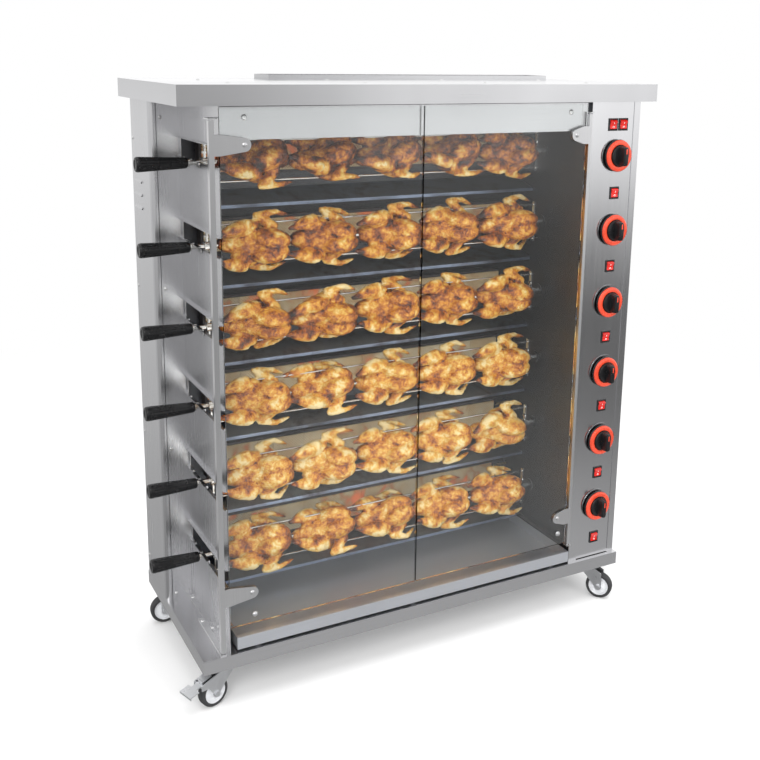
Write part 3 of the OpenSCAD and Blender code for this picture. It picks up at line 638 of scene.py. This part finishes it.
# (radius, distance from the free end); the body between the two ends tapers evenly
HANDLE_FREE_END = [(0.3, 1.8), (8.6, 1.8), (9.6, 1.3), (10.4, 0.5), (13.6, 0.1), (15.6, 0.6),
                   (16.9, 1.9), (17.6, 3.8), (17.9, 6.2)]
HANDLE_BODY = [(17.9 - 4.5 * (along - 8) / 102, along) for along in range(8, 111, 3)]
HANDLE_ROD_END = [(13.2, 112.5), (13.0, 117.5), (12.5, 119.8), (11.3, 121.3), (9.4, 121.9),
                  (6.1, 122.0)]


def fluting(angle, along):
    """Grooves along the handle that run out before its two ends."""
    depth = FLUTE_DEPTH * smoothstep(along, 8, 16) * (1 - smoothstep(along, 103, 111))
    return 1 - depth * (0.5 + 0.5 * math.cos(FLUTES * angle)) ** 2


def add_handle(i):
    low, _, centre = box(f"handle_{i}")
    place = in_millimetres((low.x, centre.y, centre.z), QUARTER_TURN_Y)
    profile = [(r, a, 0) for r, a in HANDLE_FREE_END + HANDLE_BODY + HANDLE_ROD_END]
    bm = bmesh.new()
    turned(bm, profile, place, 12 * FLUTES, fluting, (True, False))
    piece = mesh_piece(f"grip_{i}", bm, [MATERIALS["bakelite"]])
    sharpen(piece, 50)
    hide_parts(f"handle_{i}")
    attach(piece, f"spit_{i}")


# (radius, distance from the knob's back, material): skirt, red ring, face under the grip
BLACK, RED = 0, 1
KNOB_PROFILE = [
    (6.7, 1.2, BLACK), (38.0, 1.2, BLACK), (40.6, 1.5, BLACK), (41.5, 2.4, BLACK),
    (42.4, 7.4, BLACK), (42.9, 8.8, BLACK), (42.6, 10.2, BLACK), (42.0, 10.9, BLACK),
    (41.8, 10.9, RED), (41.2, 12.6, RED), (40.2, 14.0, RED), (38.6, 14.9, RED),
    (36.5, 15.3, RED), (31.0, 15.6, RED), (29.8, 15.2, RED), (29.2, 14.2, RED),
    (29.0, 13.0, BLACK), (28.2, 13.0, BLACK), (27.8, 15.2, BLACK), (27.3, 17.6, BLACK),
    (26.3, 18.8, BLACK), (24.6, 19.3, BLACK), (10.0, 19.6, BLACK), (0.4, 19.6, BLACK)]
# (distance from the knob's back, half width, half length)
GRIP_LEVELS = [(14.0, 9.0, 26.4), (19.6, 8.9, 26.4), (22.0, 8.1, 26.2), (32.0, 7.2, 25.6),
               (38.0, 7.2, 24.9), (40.4, 6.9, 24.4), (41.5, 6.2, 23.6), (42.0, 4.9, 22.0)]
POINTER_LEVELS = [(41.2, 1.7, 7.4), (42.2, 1.6, 7.3), (42.5, 1.1, 6.8)]
POINTER_CENTRE = (0.0, 13.5)
SKIRT_RIBS = 48
RIB_DEPTH = 0.007        # against the skirt's radius


def skirt_ribs(angle, along):
    """Fine grip ribs round the skirt's side."""
    depth = RIB_DEPTH * smoothstep(along, 2, 3) * (1 - smoothstep(along, 8.0, 8.8))
    return 1 + depth * math.cos(SKIRT_RIBS * angle)


def add_knob(i):
    _, high, centre = box(f"knob_{i}")
    place = in_millimetres((centre.x, high.y, centre.z), QUARTER_TURN_X)
    bm = bmesh.new()
    turned(bm, KNOB_PROFILE, place, 192, skirt_ribs, (False, True))
    rounded_bar(bm, GRIP_LEVELS, place, BLACK)
    rounded_bar(bm, POINTER_LEVELS, place, RED, POINTER_CENTRE)
    piece = mesh_piece(f"burner_knob_{i}", bm, [MATERIALS["knob_black"], MATERIALS["ring_red"]])
    sharpen(piece, 40)
    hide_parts(f"knob_{i}")
    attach(piece, f"knob_{i}")


ROCKER_TILT = 10         # degrees at rest, which is off
ROCKER_HALF_W = 11.1
ROCKER_R = 12.9          # of the round back
MARK = 1                 # material slot of the two marks
MARK_HEIGHT = 5.2        # of the on and off marks above and below the rocker's middle
# (distance from the axis, half width, half length)
ON_MARK = [(6.8, 0.55, 2.2), (8.15, 0.5, 2.1)]
# (radius, distance from the axis, material)
OFF_MARK = [(2.6, 6.8, MARK), (2.6, 8.1, MARK), (1.75, 8.1, MARK), (1.75, 6.8, MARK),
            (2.6, 6.8, MARK)]
MERGE_DISTANCE = 1e-6


def rocker_outline(inset):
    """Side view of a rocker: a hollowed front face and a round back, as (y, z) points."""
    front = [(-6.6 - 2.2 * abs(t) ** 1.4, 9.4 * t) for t in (k / 9 for k in range(-9, 10))]
    arc = [(-ROCKER_R * math.cos(a), ROCKER_R * math.sin(a))
           for a in (math.radians(50 + 11 * k) for k in range(7))]
    outline = front + arc + [(y, -z) for y, z in reversed(arc)]
    return [(y + inset * 0.6, z * (1 - inset / 12)) for y, z in outline]


def add_rocker(name):
    tilt = Matrix.Rotation(math.radians(ROCKER_TILT), 4, "X")
    place = in_millimetres(joint_at(f"rocker_{name}_tilt"), tilt)
    bm = bmesh.new()
    sides = [(-ROCKER_HALF_W, 1.3), (-ROCKER_HALF_W + 0.3, 0.5), (-ROCKER_HALF_W + 1.1, 0.0)]
    sides += [(-x, inset) for x, inset in reversed(sides)]
    loft(bm, [[place @ Vector((x, y, z)) for y, z in rocker_outline(inset)]
              for x, inset in sides])
    face = place @ QUARTER_TURN_X
    rounded_bar(bm, ON_MARK, face, MARK, (0.0, MARK_HEIGHT), power=6.0, points=24)
    turned(bm, OFF_MARK, face @ Matrix.Translation((0, -MARK_HEIGHT, 0)), 32, None,
           (False, False))
    bmesh.ops.remove_doubles(bm, verts=bm.verts, dist=MERGE_DISTANCE)
    piece = mesh_piece(f"rocker_cap_{name}", bm,
                       [MATERIALS["rocker_red"], MATERIALS["mark_white"]])
    sharpen(piece, 30)
    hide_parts(f"rocker_{name}")
    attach(piece, f"rocker_{name}")


# (radius, distance from the wheel's middle plane, material) of one side, from bore to tread
HUB, TYRE = 0, 1
WHEEL_SIDE = [
    (4.05, 13.9, HUB), (8.6, 13.9, HUB), (9.4, 13.2, HUB), (10.2, 8.2, HUB), (12.4, 6.5, HUB),
    (22.4, 5.7, HUB), (24.8, 6.3, HUB), (26.4, 8.4, HUB), (27.2, 10.2, HUB), (28.4, 10.8, HUB),
    (29.2, 10.4, TYRE), (29.7, 11.4, TYRE), (31.0, 12.0, TYRE), (34.4, 11.8, TYRE),
    (36.5, 10.2, TYRE), (37.6, 7.8, TYRE), (38.0, 4.2, TYRE)]


def add_wheel(corner):
    axle = Vector(JOINTS[f"wheel_{corner}_roll"]["axis"])
    turn = axle.to_track_quat("Z", "Y").to_matrix()
    place = in_millimetres(joint_at(f"wheel_{corner}_roll"), turn)
    profile = WHEEL_SIDE + [(38.0, 0.0, TYRE)]
    slots = [slot for _, _, slot in WHEEL_SIDE[1:]] + [TYRE]
    far_side = [(r, -a, slot) for (r, a, _), slot in zip(reversed(WHEEL_SIDE), reversed(slots))]
    bm = bmesh.new()
    turned(bm, profile + far_side + WHEEL_SIDE[:1], place, 96, None, (False, False))
    bmesh.ops.remove_doubles(bm, verts=bm.verts, dist=MERGE_DISTANCE)
    piece = mesh_piece(f"castor_wheel_{corner}", bm, [MATERIALS["hub"], MATERIALS["tyre"]])
    sharpen(piece, 40)
    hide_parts(f"wheel_{corner}")
    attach(piece, f"wheel_{corner}")


# ---------- birds ----------

BIRD_SHAPES = 5
BIRDS_PER_ROW = 5
BIRD_R = 84.0            # most that a bird may reach from its spit, in millimetres
BIRD_STRETCH = 1.08      # length of a bird against its lumps below
BIRD_PITCH = 0.183       # between neighbours on a spit, in metres
ROW_SHIFT = 0.008        # of a row's middle from the middle of the cavity, in metres
# by spit, from the top: degrees that its birds are turned, and how brown they are
ROW_TURN = {6: 60, 5: 78, 4: 96, 3: 70, 2: 88, 1: 64}
ROW_ROAST = {6: 0.50, 5: 0.42, 4: 0.40, 3: 0.29, 2: 0.26, 1: 0.33}
TURN_SPREAD = 26         # degrees that a bird may differ from its row
VOXEL = 3.0 * MM
BALL_STEP = 5            # most between the balls of a limb, in millimetres


def blob(bm, centre, radii, turn=(0, 0, 0)):
    """An ellipsoid, turned by three angles in degrees."""
    made = bmesh.ops.create_icosphere(bm, subdivisions=3, radius=1.0)
    turn = Euler([math.radians(a) for a in turn]).to_matrix().to_4x4()
    matrix = Matrix.Translation(centre) @ turn @ Matrix.Diagonal((*radii, 1))
    bmesh.ops.transform(bm, matrix=matrix, verts=made["verts"])


def limb(bm, start, end, r_start, r_end, bulge=0.0):
    """A round limb as a chain of overlapping balls, with the bulge at its middle."""
    start, end = Vector(start), Vector(end)
    steps = max(3, int((end - start).length / BALL_STEP))
    for k in range(steps + 1):
        t = k / steps
        radius = r_start + (r_end - r_start) * t + bulge * math.sin(math.pi * t)
        blob(bm, start.lerp(end, t), (radius, radius, radius))


def bird_lumps(rng):
    """A roast bird on the X axis: breast up (+Z), legs towards -X, wings out at the sides."""
    def near(*values, spread=3.5):
        return tuple(v + rng.uniform(-spread, spread) for v in values)

    bm = bmesh.new()
    blob(bm, near(6, 0, -4), (64, 38, 38))
    blob(bm, near(-50, 0, -2), (40, 25, 24))
    blob(bm, near(68, 0, 4), (20, 22, 21))
    for side in (-1, 1):
        # breast half, thigh and back
        blob(bm, near(30, side * 17, 27), (46, 26, 34), (0, -16, side * -8))
        blob(bm, near(-26, side * 37, 6), (36, 18, 26), (0, 14, side * 18))
        blob(bm, near(16, side * 30, -26), (38, 17, 16), (0, 6, side * 8))
        knee, ankle = near(-30, side * 50, 20), near(-86, side * 34, 30, spread=6)
        limb(bm, knee, ankle, 16, 7.0, 4.5)
        limb(bm, ankle, Vector(ankle) + Vector((-11, side * -2, 2)), 8.0, 6.0)
        shoulder, elbow = near(46, side * 38, 4), near(4, side * 66, -4, spread=6)
        wrist, tip = near(48, side * 71, -8, spread=6), near(82, side * 56, -14, spread=8)
        limb(bm, shoulder, elbow, 12, 9.0, 2.0)
        limb(bm, elbow, wrist, 9.0, 7.0, 1.5)
        limb(bm, wrist, tip, 7.5, 3.0, 1.0)
    bmesh.ops.scale(bm, vec=(BIRD_STRETCH * MM, MM, MM), verts=bm.verts)
    return bm


def remeshed(bm):
    """One clean skin round all the lumps."""
    source = mesh_piece("bird_lumps", bm, [])
    modifier = source.modifiers.new("skin", "REMESH")
    modifier.mode = "VOXEL"
    modifier.voxel_size = VOXEL
    evaluated = source.evaluated_get(bpy.context.evaluated_depsgraph_get())
    mesh = bpy.data.meshes.new_from_object(evaluated)
    bpy.data.objects.remove(source)
    return mesh


def bird_mesh(shape):
    """A bird's skin and how brown its points are: wrinkled, browner at the tips, and darker in the
    creases as painted shade.
    """
    rng = random.Random(100 + shape)
    mesh = remeshed(bird_lumps(rng))
    bm = bmesh.new()
    bm.from_mesh(mesh)
    bm.verts.ensure_lookup_table()
    before = [v.co.copy() for v in bm.verts]
    for _ in range(2):
        bmesh.ops.smooth_vert(bm, verts=bm.verts, factor=0.5, use_axis_x=True,
                              use_axis_y=True, use_axis_z=True)
    bm.normal_update()
    roast_and_crease_shade = []
    seed = Vector((17.3 * shape, 5.1 * shape, 2.7))
    for v, old in zip(bm.verts, before):
        crease = (v.co - old).dot(v.normal) / MM
        p = v.co / MM
        patch = noise.noise(p / 30 + seed)
        blotch = noise.noise(p / 12 + seed * 2)
        limbs = smoothstep(math.hypot(p.y, p.z * 0.6), 50, 62)
        tips = smoothstep(abs(p.x), 78, 96)
        # the crease term is painted shade that darkens concave folds; the patches, blotches, tips
        # and breast end are browning
        roast_and_crease_shade.append(0.40 * patch + 0.20 * blotch + 0.55 * smoothstep(crease, 0.05, 0.9)
                     - 0.24 * limbs + 0.34 * tips + 0.10 * smoothstep(p.x, 20, 70))
        pucker = noise.noise(p / 8 + seed * 3)
        ridge = 1 - abs(noise.noise(Vector((p.x / 15, p.y / 6, p.z / 6)) + seed))
        v.co += v.normal * (1.3 * pucker + 2.4 * (ridge - 0.8)) * MM
    for v in bm.verts:
        reach = math.hypot(v.co.y, v.co.z)
        if reach > BIRD_R * MM:
            v.co.yz = v.co.yz * (BIRD_R * MM / reach)
    bm.to_mesh(mesh)
    bm.free()
    mesh.materials.append(MATERIALS["skin"])
    mesh.shade_smooth()
    return mesh, np.array(roast_and_crease_shade, dtype=np.float32)


def add_birds():
    """Five birds on each spit; a row is turned to its own angle, and its birds vary about that."""
    rng = random.Random(7)
    row_centre = (box("left_wall")[1].x + box("right_wall")[0].x) / 2 + ROW_SHIFT
    shapes = [bird_mesh(shape) for shape in range(BIRD_SHAPES)]
    for row in range(1, SPITS + 1):
        coloured = []
        for mesh, roast_and_crease_shade in shapes:
            mesh = mesh.copy()
            brownness_and_crease_shade = mesh.attributes.new("roast_and_crease_shade", "FLOAT", "POINT")
            brownness_and_crease_shade.data.foreach_set("value", roast_and_crease_shade + ROW_ROAST[row])
            coloured.append(mesh)
        axis = joint_at(f"spit_{row}_turn")
        for k in range(BIRDS_PER_ROW):
            bird = bpy.data.objects.new(f"roast_bird_{row}_{k + 1}",
                                        coloured[(2 * row + k) % BIRD_SHAPES])
            bpy.context.scene.collection.objects.link(bird)
            turn = math.radians(ROW_TURN[row] + rng.uniform(-TURN_SPREAD, TURN_SPREAD))
            x = row_centre + (k - 2) * BIRD_PITCH + rng.uniform(-4, 4) * MM
            bird.matrix_world = (Matrix.Translation((x, axis.y, axis.z))
                                 @ Matrix.Rotation(turn, 4, "X")
                                 @ Matrix.Scale(rng.uniform(0.96, 1.0), 4))
            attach(bird, f"spit_{row}")


# ---------- build ----------

add_camera()
add_world()
add_stage()
dress_cad_nodes()
for number in range(1, SPITS + 1):
    add_handle(number)
    add_knob(number)
for switch in [str(k) for k in range(1, SPITS + 1)] + ["main", "lamp"]:
    add_rocker(switch)
for castor in ("fl", "fr", "rl", "rr"):
    add_wheel(castor)
add_birds()
